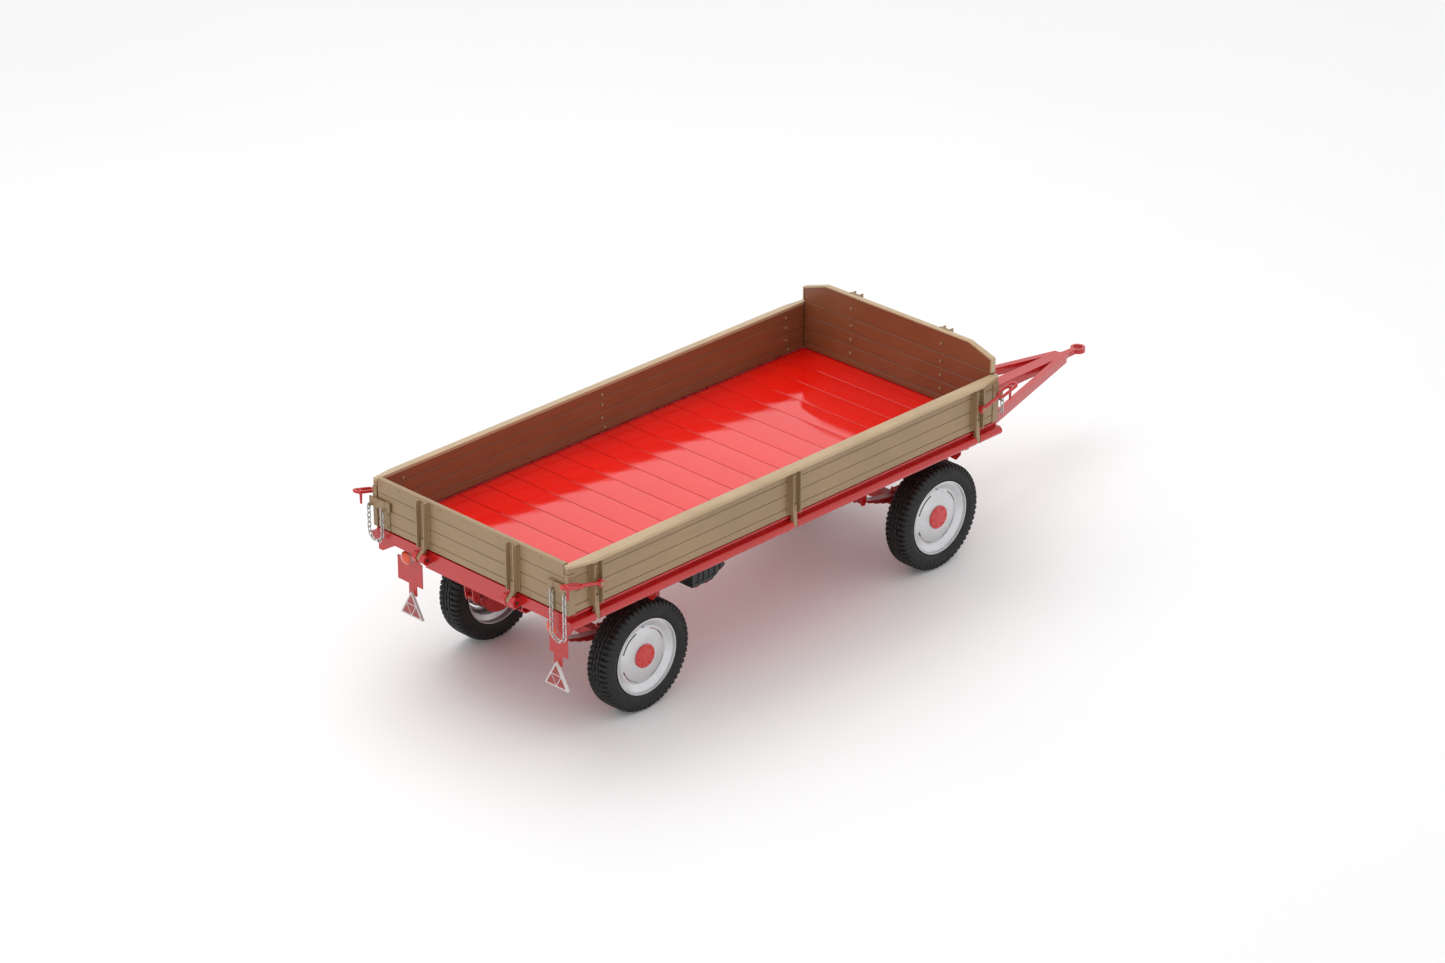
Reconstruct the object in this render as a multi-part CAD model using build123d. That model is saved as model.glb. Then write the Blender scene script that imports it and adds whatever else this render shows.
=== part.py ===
from build123d import *
from math import atan2, cos, radians, sin, sqrt
import os

# Two-axle drop-side farm cart with a turntable-steered front axle.
# +X points forward to the drawbar, +Y to the cart's left, +Z up, millimetres.
# The pieces are drawn with x = 0 at the closed tailgate's outer face. save() then moves them so
# that the origin is on the ground, halfway along the overall length.

# ---- load bed ----
LOAD_LENGTH = 4000.0        # floor from closed tailgate to front wall
LOAD_WIDTH = 1770.0         # between the side walls' inner faces
FLOOR_TOP = 1026.0
SIDE_TOP = 1384.0           # top of the side walls
GATE_TOP = 1391.0           # top of the tailgate
FRONT_CORNER_TOP = 1499.0   # front wall at its two sides
FRONT_MIDDLE_TOP = 1568.0   # front wall between its two chamfers
FRONT_CHAMFER_Y = 678.0     # where the chamfers meet the straight top
BOARD = 36.0                # thickness of every wall board
BOARD_BEVEL = 4.0           # bevel on every long edge of a board
WALL_LIFT = 7.0             # walls above the rail they close on
WALL_GAP = 4.0              # between neighbouring walls at the corners
PLANK_COUNT = 18            # floor planks along X
PLANK_THICK = 26.0
PLANK_GAP = 2.0
SIDE_SEAMS = (55.0, 154.0, 253.0)           # seams of side walls and tailgate above their bottom
FRONT_SEAMS = (39.0, 146.0, 248.0, 358.0)   # seams of the front wall above its bottom

# ---- straps, caps and hinges of the walls ----
STRAP_WIDTH = 76.0
STRAP_DEPTH = 45.0
STRAP_SHEET = 8.0
BACKING = 5.0               # plate between a strap and the boards, and round the wall ends
STRAP_TOP_DROP = 42.0       # strap tops below the side walls' top
CROSS_STRAP_Y = 425.0       # straps of tailgate and front wall from the centre line
END_STRAP_INSET = 225.0     # outer side straps from the outer faces of the end walls
PIN_R = 14.0
PIN_FIT = 0.05              # radial running clearance of every pin in its eye
PIN_DROP = 73.0             # side hinge pins below the walls' bottom
PIN_OUT = 9.0               # side hinge pins outside the walls' outer face
GATE_PIN_DROP = 52.0
GATE_PIN_OUT = 42.0
TONGUE_WIDTH = 34.0
EYE_WALL = 12.0             # metal around a pin in a hinge tongue
KNUCKLE_GAP = 1.0           # side play of a hinge tongue between its lugs
CAP_WIDTH = 75.0
CAP_THICK = 20.0
CAP_TAPER = 200.0           # length over which a cap narrows to the board at each end
CAP_FALL = 8.0              # how much the cap's outer edge is lower
SEAT_GAP = 0.3              # between pieces of different bodies at rest
BOLT_R = 11.0
BOLT_HEAD = 7.0

# ---- frame ----
RAIL_HEIGHT = 105.0
RAIL_SHEET = 14.0
RAIL_NOSE_R = 30.0
REAR_FACE = -4.0            # rear ends of the rails and the rear channel
RAIL_TOP_RISE = 4.0         # rail top above the floor
RAIL_INSET = 35.0           # rail web's inner face inside the side walls' outer face
BEAM_Y = 420.0              # chassis and spring beams from the centre line
BEAM_WIDTH = 70.0
BEAM_HEIGHT = 140.0
BEAM_SHEET = 9.0
CROSS_HEIGHT = 80.0
CROSS_COUNT = 7
REAR_BEAM_HEIGHT = 130.0
REAR_BEAM_SHEET = 12.0

# ---- wheels and axles ----
TYRE_R = 390.0
TYRE_WIDTH = 190.0
RIM_R = 267.0
RIM_WIDTH = 168.0
HALF_TRACK = 712.0
DISC_FACE = 62.0            # wheel disc's outer face, out from the tyre's middle
DISC_SHEET = 7.0
SLOT_R = 188.0
HUB_CAP_R = 84.0
DRUM_R = 172.0
DRUM_WIDTH = 82.0
SPINDLE_R = 25.0
AXLE_SIDE = 70.0
REAR_AXLE_X = 808.0
WHEELBASE = 2845.0
SPRING_HALF = 420.0         # half the chord between the spring eyes
SPRING_CAMBER = 70.0
SPRING_WIDTH = 60.0
LEAF_THICK = 10.0
LEAF_GAP = 0.4
LEAF_COUNT = 5
SPRING_PIN_R = 11.0

# ---- turntable, bogie and drawbar ----
RING_OUT_R = 440.0
RING_IN_R = 360.0
RING_THICK = 15.0
KINGPIN_R = 30.0
BOGIE_HEIGHT = 84.0
BOGIE_REAR = 500.0          # bogie frame behind the front axle
BOGIE_FRONT = 530.0         # bogie frame ahead of the front axle
HITCH_X = 580.0             # drawbar hinge ahead of the front axle
HITCH_Y = 480.0
DRAWBAR_Z = 654.0           # centre height of the level drawbar
DRAWBAR_HEIGHT = 62.0
DRAWBAR_BEAM = 50.0
CENTRE_BEAM = 96.0
TOW_EYE_AHEAD = 2380.0      # tow eye centre ahead of the front axle
TOW_EYE_R = 55.0
TOW_BORE_R = 34.0
TOW_EYE_THICK = 36.0
NECK_BACK = 190.0           # front end of the drawbar's top plate behind the tow eye

# ---- latches, chains, lamps and chock ----
LATCH_PITCH = 14.5          # degrees that a latch lever rises towards its ring
LATCH_REACH = 356.0         # pivot to the outer end of the ring
RING_LENGTH = 190.0
RING_WIDTH = 76.0
RING_BAR_R = 11.0
LATCH_Z = 1212.0
LATCH_BOSS = 26.0           # radius and width of a latch's boss
LATCH_PIN_R = 8.0
ARM_R = 12.0
HOOK_OUT = 296.0            # hook's bar, along the lever from the pivot
HOOK_LENGTH = 92.0
EAR_ROOT_Y = 748.0          # inboard end of the corner brackets' ears
EAR_TIP_Y = 944.0
EAR_SHEET = 12.0
EAR_FACE = 22.0             # ears' outer face from the boards
EAR_LOW = 1187.0
EAR_HIGH = 1250.0
LINK_LENGTH = 50.0
LINK_WIDTH = 32.0
LINK_BAR_R = 4.0
LINK_SLACK = 0.8            # play between one link and the next
CHAIN_OFF = 22.0            # chain plane outside the bracket it hangs on
CHAIN_DROPS = (6, 9, 3)     # links down each side of a loop: rear left, rear right, front
STUD_R = 5.0
STUD_Y = 926.0              # outer chain stud
STUD_Z = 1200.0
KNOB_R = 24.0
BRACKET_X = 112.0           # rear face of the lamp brackets
LAMP_Y = 694.0
LAMP_Z = 850.0
LAMP_R = 48.0
TRIANGLE_SIDE = 213.0
TRIANGLE_THICK = 20.0
TRIANGLE_LOW = 406.0
CHOCK_X = 1184.0            # rear end of the stored chock
CHOCK_OUT_Y = 840.0         # its outer face, on the cart's right
CHOCK_LOW = 768.0
CHOCK_LENGTH = 300.0
CHOCK_HEIGHT = 132.0
CHOCK_WIDTH = 140.0

# ---- values worked out from those above ----
IN_Y = LOAD_WIDTH / 2
OUT_Y = IN_Y + BOARD
FRONT_IN = BOARD + WALL_GAP + LOAD_LENGTH
FRONT_OUT = FRONT_IN + BOARD
RAIL_TOP = FLOOR_TOP + RAIL_TOP_RISE
WALL_LOW = RAIL_TOP + WALL_LIFT
RAIL_IN_Y = OUT_Y - RAIL_INSET
FLOOR_LOW = FLOOR_TOP - PLANK_THICK
BEAM_LOW = FLOOR_LOW - BEAM_HEIGHT
SIDE_PIN_Y = OUT_Y + PIN_OUT
SIDE_PIN_Z = WALL_LOW - PIN_DROP
GATE_PIN_Z = WALL_LOW - GATE_PIN_DROP
FRONT_AXLE_X = REAR_AXLE_X + WHEELBASE
SIDE_STRAPS = (END_STRAP_INSET, FRONT_OUT / 2, FRONT_OUT - END_STRAP_INSET)
EYE_X = FRONT_AXLE_X + TOW_EYE_AHEAD
RING_DIR = (cos(radians(LATCH_PITCH)), sin(radians(LATCH_PITCH)))
REAR_REACH = (LATCH_REACH - RING_BAR_R) * RING_DIR[0] + RING_BAR_R - END_STRAP_INSET
X_SHIFT = -((EYE_X + TOW_EYE_R) - REAR_REACH) / 2
BOGIE_TOP = BEAM_LOW - 2 * RING_THICK - SEAT_GAP
BOGIE_LOW = BOGIE_TOP - BOGIE_HEIGHT
SPRING_LOW = TYRE_R + AXLE_SIDE / 2
SPRING_EYE_Z = SPRING_LOW + LEAF_COUNT * (LEAF_THICK + LEAF_GAP) - LEAF_THICK / 2 + SPRING_CAMBER
LINK_PITCH = LINK_LENGTH - 4 * LINK_BAR_R - LINK_SLACK


def block(x0, x1, y0, y1, z0, z1):
    """A box between two corners."""
    size = (abs(x1 - x0), abs(y1 - y0), abs(z1 - z0))
    return Pos((x0 + x1) / 2, (y0 + y1) / 2, (z0 + z1) / 2) * Box(*size)


def rod_x(x0, x1, y, z, r):
    return Pos((x0 + x1) / 2, y, z) * Rot(0, 90, 0) * Cylinder(r, abs(x1 - x0))


def rod_y(x, y0, y1, z, r):
    return Pos(x, (y0 + y1) / 2, z) * Rot(90, 0, 0) * Cylinder(r, abs(y1 - y0))


def rod_z(x, y, z0, z1, r):
    return Pos(x, y, (z0 + z1) / 2) * Cylinder(r, abs(z1 - z0))


def sheet_xz(points, y0, y1):
    """A flat piece outlined by (x, z) points between two planes across Y."""
    face = make_face(Polyline(*[(x, 0, z) for x, z in points], close=True))
    return Pos(0, min(y0, y1), 0) * extrude(face, amount=abs(y1 - y0), dir=(0, 1, 0))


def sheet_yz(points, x0, x1):
    face = make_face(Polyline(*[(0, y, z) for y, z in points], close=True))
    return Pos(min(x0, x1), 0, 0) * extrude(face, amount=abs(x1 - x0), dir=(1, 0, 0))


def sheet_xy(points, z0, z1):
    face = make_face(Polyline(*[(x, y, 0) for x, y in points], close=True))
    return Pos(0, 0, min(z0, z1)) * extrude(face, amount=abs(z1 - z0), dir=(0, 0, 1))


def turned_y(points, x, y, z, out):
    """A solid of revolution about a Y axis from (radius, offset along Y) points; out is +1 or -1."""
    face = make_face(Polyline(*[(r, 0, a) for r, a in points], close=True))
    body = revolve(face, Axis.Z)
    return Pos(x, y, z) * Rot(-90 * out, 0, 0) * body


def flip_y(shape):
    return mirror(shape, about=Plane.XZ)


def both_sides(shapes):
    """The given left-hand pieces and their right-hand twins."""
    return list(shapes) + [flip_y(s) for s in shapes]


def save(name, shapes):
    """Write one node as a group of its separate solids, in the part's own frame."""
    solids = []
    for shape in shapes:
        solids += [Pos(X_SHIFT, 0, 0) * s for s in shape.solids()]
    whole = solids[0] if len(solids) == 1 else Compound(children=solids)
    export_step(whole, f"parts/{name}.step")


# ---- walls ----
def seams_to_spans(low, seams, high):
    edges = [low] + [WALL_LOW + s for s in seams] + [high]
    return list(zip(edges[:-1], edges[1:]))


def board_outline(near, far, low, high):
    """Cross-section of a board, bevelled on its long edges."""
    b = BOARD_BEVEL
    return [(near + b, low), (far - b, low), (far, low + b), (far, high - b),
            (far - b, high), (near + b, high), (near, high - b), (near, low + b)]


def side_boards():
    """Left side wall boards, bottom to top."""
    spans = seams_to_spans(WALL_LOW, SIDE_SEAMS, SIDE_TOP - CAP_THICK)
    return [sheet_yz(board_outline(IN_Y, OUT_Y, a, b), 0, FRONT_OUT) for a, b in spans]


def gate_boards():
    half = IN_Y - WALL_GAP
    spans = seams_to_spans(WALL_LOW, SIDE_SEAMS, GATE_TOP)
    return [sheet_xz(board_outline(0, BOARD, a, b), -half, half) for a, b in spans]


def front_boards():
    """Front wall boards; the upper ones follow the chamfered corners."""
    half = IN_Y - WALL_GAP
    spans = seams_to_spans(RAIL_TOP, FRONT_SEAMS, FRONT_MIDDLE_TOP - CAP_THICK / 2)
    outline = sheet_yz(front_outline(half, -CAP_THICK / 2), FRONT_IN, FRONT_OUT)
    boards = [sheet_xz(board_outline(FRONT_IN, FRONT_OUT, a, b), -half, half) for a, b in spans]
    return [b & outline for b in boards]


def front_outline(half, rise):
    """Front wall outline from the rail up, its top raised by rise."""
    return [(-half, RAIL_TOP), (half, RAIL_TOP), (half, FRONT_CORNER_TOP + rise),
            (FRONT_CHAMFER_Y, FRONT_MIDDLE_TOP + rise), (-FRONT_CHAMFER_Y, FRONT_MIDDLE_TOP + rise),
            (-half, FRONT_CORNER_TOP + rise)]


def side_cap():
    """Left side wall's top cap: flush inside, overhanging the straps, narrow at both ends."""
    wide = IN_Y + CAP_WIDTH
    low = SIDE_TOP - CAP_THICK
    section = [(IN_Y, low), (OUT_Y, low), (wide, low - CAP_FALL), (wide, SIDE_TOP - 2 * CAP_FALL),
               (wide - CAP_FALL, SIDE_TOP - CAP_FALL), (OUT_Y, SIDE_TOP - 2), (IN_Y, SIDE_TOP)]
    plan = [(0, IN_Y), (FRONT_OUT, IN_Y), (FRONT_OUT, OUT_Y), (FRONT_OUT - CAP_TAPER, wide),
            (CAP_TAPER, wide), (0, OUT_Y)]
    return sheet_yz(section, 0, FRONT_OUT) & sheet_xy(plan, low - 2 * CAP_FALL, SIDE_TOP + 1)


def front_cap():
    """Edge moulding along the front wall's top, chamfers and upper sides."""
    lip = 12.0
    half = IN_Y - WALL_GAP
    outer = sheet_yz(front_outline(half + lip, 0), FRONT_IN - 5, FRONT_OUT)
    inner = sheet_yz(front_outline(half, -CAP_THICK / 2), FRONT_IN - 6, FRONT_OUT + 6)
    above = block(FRONT_IN - 6, FRONT_OUT + 6, -OUT_Y, OUT_Y, GATE_TOP + WALL_GAP, FRONT_MIDDLE_TOP + 1)
    return (outer - inner) & above


# Straps are drawn on a wall whose outer face is the plane y = 0 with +Y outwards, centred on x = 0.
def strap(low, high):
    """A U channel on its backing plate, between two heights."""
    half = STRAP_WIDTH / 2
    face = BACKING + STRAP_SHEET
    plate = block(-half - 14, half + 6, 0, BACKING, low, high)
    base = block(-half, half, BACKING, face, low, high)
    flange = block(half - STRAP_SHEET, half, BACKING, STRAP_DEPTH, low, high)
    return plate + base + flange + mirror(flange, about=Plane.YZ)


def hinged_strap(high, pin_out, pin_z):
    """A strap with a tongue curling down to its hinge pin, pin_out from the wall's face."""
    low = WALL_LOW + 14
    half = TONGUE_WIDTH / 2
    eye_r = PIN_R + EYE_WALL
    root = BACKING + 1
    front = BACKING + STRAP_SHEET + EYE_WALL
    outline = [(root, low + 60), (front, low + 60), (front, WALL_LOW), (pin_out + eye_r - 4, pin_z + 8),
               (pin_out - eye_r + 6, pin_z + 8), (root, WALL_LOW - 8)]
    tongue = sheet_yz(outline, -half, half)
    tongue += rod_x(-half, half, pin_out, pin_z, eye_r)
    return strap(low, high) + tongue - rod_x(-STRAP_WIDTH, STRAP_WIDTH, pin_out, pin_z, PIN_R + PIN_FIT)


def on_left(shape, x):
    return Pos(x, OUT_Y, 0) * shape


def on_rear(shape, y):
    """Put a piece drawn against y = 0 on the tailgate's outer face."""
    return Pos(0, y, 0) * Rot(0, 0, 90) * shape


def on_front(shape, y):
    return Pos(FRONT_OUT, y, 0) * Rot(0, 0, -90) * shape


def side_straps():
    piece = hinged_strap(SIDE_TOP - STRAP_TOP_DROP, PIN_OUT, SIDE_PIN_Z)
    return [on_left(piece, x) for x in SIDE_STRAPS]


def side_corner_plates():
    """Thin plates wrapped round both ends of the left side wall, below the cap."""
    low, high = WALL_LOW, SIDE_TOP - 3 * CAP_THICK
    outer = block(0, 54, OUT_Y, OUT_Y + BACKING, low, high)
    end = block(-BACKING, 0, OUT_Y - BOARD + 4, OUT_Y + BACKING, low, high)
    rear = outer + end
    return [rear, mirror(rear, about=Plane.YZ.offset(FRONT_OUT / 2))]


def gate_straps():
    piece = hinged_strap(GATE_TOP - 6, GATE_PIN_OUT, GATE_PIN_Z)
    return [on_rear(piece, CROSS_STRAP_Y), on_rear(piece, -CROSS_STRAP_Y)]


def front_straps():
    """Fixed channels that hold the front wall to the sill; their flanges reach above its edge."""
    piece = strap(RAIL_TOP - 120, FRONT_MIDDLE_TOP + 4)
    return [on_front(piece, CROSS_STRAP_Y), on_front(piece, -CROSS_STRAP_Y)]


def bolt_heads():
    """A strap bolt's round head on the wall's inner face and its nut on the strap."""
    head = Pos(0, -BOARD - BOLT_HEAD / 2, 0) * Rot(90, 0, 0) * Cylinder(BOLT_R, BOLT_HEAD)
    nut = Rot(90, 0, 0) * extrude(RegularPolygon(BOLT_R, 6), amount=BOLT_HEAD)
    return [head, Pos(0, BACKING + STRAP_SHEET + BOLT_HEAD, 0) * nut]


def board_centres(low, seams, high):
    return [(a + b) / 2 for a, b in seams_to_spans(low, seams, high)]


def side_bolts():
    heights = board_centres(WALL_LOW, SIDE_SEAMS, SIDE_TOP - CAP_THICK - 20)
    found = []
    for x in SIDE_STRAPS:
        for z in heights[1:]:
            found += [on_left(Pos(0, 0, z) * p, x) for p in bolt_heads()]
        found.append(on_left(Pos(24, 0, heights[0]) * bolt_heads()[0], x))
    return found


def gate_bolts():
    heights = board_centres(WALL_LOW, SIDE_SEAMS, GATE_TOP - 20)[1:]
    found = []
    for y in (CROSS_STRAP_Y, -CROSS_STRAP_Y):
        for z in heights:
            found += [on_rear(Pos(0, 0, z) * p, y) for p in bolt_heads()]
    return found


def front_bolts():
    heights = board_centres(RAIL_TOP, FRONT_SEAMS, FRONT_MIDDLE_TOP - 20)[1:]
    found = []
    for y in (CROSS_STRAP_Y, -CROSS_STRAP_Y):
        for z in heights:
            found += [on_front(Pos(0, 0, z) * p, y) for p in bolt_heads()]
    return found


# Corner brackets are drawn for the left end of a wall whose outer face is y = 0, +Y outwards,
# with the cart's centre line at x = 0 and x running out to the corner.
def corner_bracket(knob, drop_links):
    """Plate with an ear past the wall's end, a lower strip, bolts and the two pins a chain hangs on."""
    pad = EAR_FACE - EAR_SHEET
    face = EAR_FACE
    base = block(EAR_ROOT_Y + 14, EAR_ROOT_Y + 52, 0, pad, EAR_LOW, EAR_HIGH)
    ear = block(EAR_ROOT_Y, EAR_TIP_Y, pad, face, EAR_LOW, EAR_HIGH)
    strip = block(EAR_ROOT_Y + 17, EAR_ROOT_Y + 45, 0, 6, WALL_LOW + 6, EAR_LOW)
    body = base + ear + strip
    pin_y = face + CHAIN_OFF
    side = LINK_BAR_R + LINK_SLACK
    for x in (STUD_Y - stud_spacing(drop_links), STUD_Y):
        body += block(x - side - 6, x - side, face, pin_y + STUD_R + 3, STUD_Z - 10, STUD_Z + 10)
        body += rod_x(x - side - 6, x + side + 3, pin_y, STUD_Z, STUD_R)
        body += rod_x(x + side, x + side + 3, pin_y, STUD_Z, STUD_R + 3)
    if knob:
        knob_x, knob_y = STUD_Y - stud_spacing(drop_links) / 2, pin_y + LINK_WIDTH / 2 + KNOB_R
        body += rod_y(knob_x, face, knob_y, STUD_Z, 2 * STUD_R)
        body += Pos(knob_x, knob_y, STUD_Z) * Sphere(KNOB_R)
    strip_x = EAR_ROOT_Y + 31
    for x, z in ((862, 1234), (800, 1234), (strip_x, 1160), (strip_x, 1070)):
        y = face if z > EAR_LOW else 6
        body += rod_y(x, y, y + 6, z, 8)
    return body


def rear_corner_brackets():
    left, right = [Rot(0, 0, 90) * corner_bracket(False, n) for n in (CHAIN_DROPS[0], CHAIN_DROPS[1])]
    return [left, flip_y(right)]


def front_corner_brackets():
    right = Pos(FRONT_OUT, 0, 0) * Rot(0, 0, -90) * corner_bracket(True, CHAIN_DROPS[2])
    return [right, flip_y(right)]


# ---- chains and latches ----
def link_reach(n):
    """Distance from link n's centre to the joint with its neighbours; odd links lie in the loop's plane."""
    flat = (LINK_LENGTH - LINK_WIDTH) / 2
    return flat if n % 2 else LINK_PITCH - flat


def chain_angles(drop_links):
    """Heading of every link of a loop that drops, turns at its foot in five links and rises again."""
    return [-90] * drop_links + [-120, -150, 180, 150, 120] + [90] * drop_links


def stud_spacing(drop_links):
    """Distance between the two ends of a hanging loop."""
    headings = enumerate(chain_angles(drop_links))
    return -2 * sum(link_reach(n) * cos(radians(angle)) for n, angle in headings)


def link():
    """One chain link along Z, flat in the YZ plane."""
    r = LINK_WIDTH / 2 - LINK_BAR_R
    straight = LINK_LENGTH / 2 - LINK_WIDTH / 2
    bar = LINK_BAR_R
    body = Pos(0, r, 0) * Cylinder(bar, 2 * straight) + Pos(0, -r, 0) * Cylinder(bar, 2 * straight)
    half = Rot(0, 90, 0) * Torus(r, bar)
    upper = half & Pos(0, 0, LINK_WIDTH / 2) * Box(LINK_WIDTH * 2, LINK_WIDTH * 2, LINK_WIDTH)
    body += Pos(0, 0, straight) * upper
    return body + Pos(0, 0, -straight) * Rot(180, 0, 0) * upper


def chain(drop_links, x, y):
    """A loop of links from the stud at y, down and back up to the stud nearer the centre line."""
    angles = chain_angles(drop_links)
    inner_top = LINK_LENGTH / 2 - 2 * LINK_BAR_R
    at_y, at_z = y, STUD_Z + STUD_R + SEAT_GAP - inner_top
    links = []
    one = link()
    for n, angle in enumerate(angles):
        if n:
            before, here = radians(angles[n - 1]), radians(angle)
            at_y += link_reach(n - 1) * cos(before) + link_reach(n) * cos(here)
            at_z += link_reach(n - 1) * sin(before) + link_reach(n) * sin(here)
        twist = Rot(0, 0, 0) if n % 2 else Rot(0, 0, 90)
        links.append(Pos(x, at_y, at_z) * Rot(angle + 90, 0, 0) * twist * one)
    return links


def latch():
    """Front left latch: boss on the strap, rising lever, flat oval ring and hanging hook."""
    pivot_x = SIDE_STRAPS[2]
    inside = OUT_Y + STRAP_DEPTH + SEAT_GAP
    mid_y = inside + RING_WIDTH / 2 - 24
    r = RING_WIDTH / 2 - RING_BAR_R
    ring_x = LATCH_REACH - RING_LENGTH / 2
    straight = RING_LENGTH / 2 - RING_WIDTH / 2
    bar = RING_BAR_R
    end = Torus(r, bar) & Pos(RING_WIDTH / 2, 0, 0) * Box(RING_WIDTH, RING_WIDTH * 2, 4 * bar)
    side = Rot(0, 90, 0) * Cylinder(bar, 2 * straight)
    ring = Pos(straight, 0, 0) * end + Pos(-straight, 0, 0) * Rot(0, 0, 180) * end
    ring += Pos(0, r, 0) * side + Pos(0, -r, 0) * side
    reach = ring_x - RING_LENGTH / 2 + bar
    arm = Pos(reach / 2, 0, 0) * Rot(0, 90, 0) * Cylinder(ARM_R, reach)
    ring += Pos(HOOK_OUT - ring_x, 0, 0) * Rot(90, 0, 0) * Cylinder(bar - 2, 2 * r)
    lever = Rot(0, -LATCH_PITCH, 0) * (arm + Pos(ring_x, 0, 0) * ring)
    lever = Pos(pivot_x, mid_y, LATCH_Z) * lever
    boss = rod_y(pivot_x, inside, inside + LATCH_BOSS, LATCH_Z, LATCH_BOSS)
    hook_x, hook_z = HOOK_OUT * RING_DIR[0], LATCH_Z + HOOK_OUT * RING_DIR[1]
    hook = Pos(pivot_x + hook_x, mid_y, hook_z - HOOK_LENGTH / 2) * Cone(8, bar, HOOK_LENGTH)
    bore = rod_y(pivot_x, OUT_Y, inside + LATCH_BOSS + 1, LATCH_Z, LATCH_PIN_R + PIN_FIT)
    return lever + boss + hook - bore


def latch_set():
    """Latches in the order front left, front right, rear left, rear right."""
    front = latch()
    rear = mirror(front, about=Plane.YZ.offset(FRONT_OUT / 2))
    return [front, flip_y(front), rear, flip_y(rear)]


def latch_pivots():
    """Left side wall's two pivot bolts, welded into the end straps, with their washers."""
    face = OUT_Y + BACKING + STRAP_SHEET
    end = OUT_Y + STRAP_DEPTH + SEAT_GAP + LATCH_BOSS + SEAT_GAP
    half = STRAP_WIDTH / 2 - STRAP_SHEET
    found = []
    for x in (SIDE_STRAPS[0], SIDE_STRAPS[2]):
        shank = rod_y(x, face, end + 6, LATCH_Z, LATCH_PIN_R)
        washer = rod_y(x, end, end + 6, LATCH_Z, 15)
        saddle = block(x - half, x + half, face, OUT_Y + STRAP_DEPTH, LATCH_Z - 16, LATCH_Z + 16)
        found.append(shank + washer + saddle)
    return found


# ---- platform ----
def floor_planks():
    start, end = BOARD + WALL_GAP, FRONT_IN
    pitch = (end - start) / PLANK_COUNT
    half = IN_Y - RAIL_SHEET - 1
    planks = []
    for n in range(PLANK_COUNT):
        x0 = start + n * pitch
        outline = board_outline(x0 + PLANK_GAP / 2, x0 + pitch - PLANK_GAP / 2, FLOOR_LOW, FLOOR_TOP)
        planks.append(sheet_xz(outline, -half, half))
    return planks


def side_rail():
    """Left rail: web, top lip and a rounded nose broken at each strap, bored for the hinge pins."""
    start, end = REAR_FACE, FRONT_OUT + RAIL_SHEET
    web_in, web_out = RAIL_IN_Y, RAIL_IN_Y + RAIL_SHEET
    low = RAIL_TOP - RAIL_HEIGHT
    web = block(start, end, web_in, web_out, low, RAIL_TOP)
    lip = block(BOARD + WALL_GAP, FRONT_IN, IN_Y - RAIL_SHEET, OUT_Y - 3, RAIL_TOP - 12, RAIL_TOP)
    nose = rod_x(start, end, SIDE_PIN_Y, SIDE_PIN_Z, RAIL_NOSE_R)
    nose += block(start, end, web_in, SIDE_PIN_Y, SIDE_PIN_Z - RAIL_NOSE_R, SIDE_PIN_Z + RAIL_NOSE_R)
    half = TONGUE_WIDTH / 2 + KNUCKLE_GAP
    for x in SIDE_STRAPS:
        nose -= block(x - half, x + half, web_out, SIDE_PIN_Y + 50, low - 50, RAIL_TOP + 50)
        nose -= rod_x(x - 90, x + 90, SIDE_PIN_Y, SIDE_PIN_Z, PIN_R + PIN_FIT)
        lip -= block(x - half, x + half, web_out, OUT_Y, RAIL_TOP - 20, RAIL_TOP + 1)
    return web + lip + nose


def hinge_pins():
    """Side and tailgate hinge pins, each through a tongue and the lugs beside it."""
    side = [rod_x(x - 88, x + 88, SIDE_PIN_Y, SIDE_PIN_Z, PIN_R) for x in SIDE_STRAPS]
    half = TONGUE_WIDTH / 2 + KNUCKLE_GAP + 44
    gate = rod_y(-GATE_PIN_OUT, CROSS_STRAP_Y - half, CROSS_STRAP_Y + half, GATE_PIN_Z, PIN_R)
    return both_sides(side + [gate])


def rear_beam():
    """Rear channel with the tailgate's hinge lugs and its corner gussets."""
    reach = RAIL_IN_Y
    x0, x1 = REAR_FACE, REAR_FACE + REAR_BEAM_SHEET
    deep = CROSS_STRAP_Y
    web = block(x0, x1, -deep, deep, RAIL_TOP - REAR_BEAM_HEIGHT, RAIL_TOP)
    web += block(x0, x1, -reach, reach, RAIL_TOP - 80, RAIL_TOP)
    top = block(x0, BOARD + WALL_GAP, -reach, reach, RAIL_TOP - REAR_BEAM_SHEET, RAIL_TOP)
    foot = block(x0, 60, -deep + 40, deep - 40, RAIL_TOP - REAR_BEAM_HEIGHT, RAIL_TOP - REAR_BEAM_HEIGHT + 10)
    body = web + top + foot
    near = TONGUE_WIDTH / 2 + KNUCKLE_GAP
    for y in (CROSS_STRAP_Y, -CROSS_STRAP_Y):
        for a in (y - near - 42, y + near):
            body += rod_y(-GATE_PIN_OUT, a, a + 42, GATE_PIN_Z, 34)
            body += block(-GATE_PIN_OUT, x0, a, a + 42, GATE_PIN_Z - 30, GATE_PIN_Z + 24)
        body -= block(-GATE_PIN_OUT - 40, x0 - 1, y - near, y + near, GATE_PIN_Z - 50, GATE_PIN_Z + 50)
        body -= rod_y(-GATE_PIN_OUT, y - near - 44, y + near + 44, GATE_PIN_Z, PIN_R + PIN_FIT)
    low = RAIL_TOP - 80
    for side in (1, -1):
        gusset = sheet_yz([(side * (reach - 160), low), (side * reach, low), (side * reach, low - 75),
                           (side * (reach - 40), low - 75)], x0, x0 + 10)
        body += gusset
        cheek = sheet_xz([(x0 + 10, low - 75), (x0 + 10, low), (110, low), (50, low - 75)],
                         side * (reach - 10), side * reach)
        body += cheek
    return body


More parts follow.
